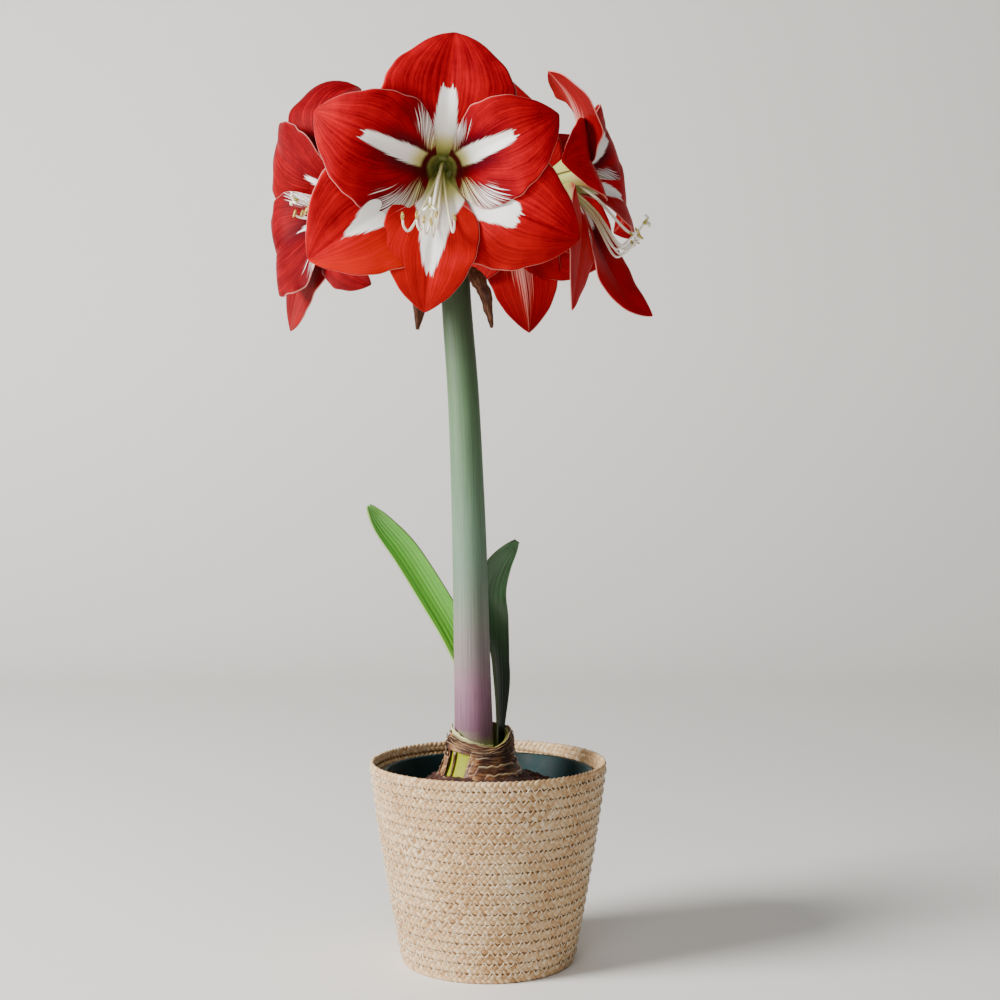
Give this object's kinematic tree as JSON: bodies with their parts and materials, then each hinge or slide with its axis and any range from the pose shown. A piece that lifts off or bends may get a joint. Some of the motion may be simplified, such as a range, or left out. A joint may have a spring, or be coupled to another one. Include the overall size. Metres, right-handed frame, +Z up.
{
  "type": "amaryllis in a pot",
  "caption": "Amaryllis in bloom: red and white star-striped flowers on a tall stalk, with young leaves, rising from a bulb in a grower's pot set in a braided straw basket.",
  "frame": {"origin": "centre of the basket's flat underside, on the surface it stands on", "axes": "+Z up along the flower stalk, +X to the right and +Y away from a viewer whom the front flower faces"},
  "size_m": [0.2781, 0.2771, 0.6523],
  "materials": {
    "straw": "matte",
    "plastic": "satin",
    "peat": "matte",
    "flesh": "satin",
    "skin": "matte",
    "stalk": "satin",
    "leaf": "satin",
    "bract": "matte",
    "petal": "satin",
    "filament": "satin",
    "style": "satin",
    "floret": "satin"
  },
  "bodies": {
    "root": {"basket": "straw", "grower_pot": "plastic", "potting_soil": "peat", "bulb": "flesh", "bulb_skin": "skin", "flower_stalk": "stalk", "leaf_left": "leaf", "leaf_right": "leaf", "bract_left": "bract", "bract_right": "bract", "flower_front_petals": "petal", "flower_front_stamens": "filament", "flower_front_style": "style", "flower_front_stalk": "floret", "flower_left_petals": "petal", "flower_left_stamens": "filament", "flower_left_style": "style", "flower_left_stalk": "floret", "flower_right_petals": "petal", "flower_right_stamens": "filament", "flower_right_style": "style", "flower_right_stalk": "floret", "flower_back_petals": "petal", "flower_back_stamens": "filament", "flower_back_style": "style", "flower_back_stalk": "floret"}
  },
  "joints": []
}
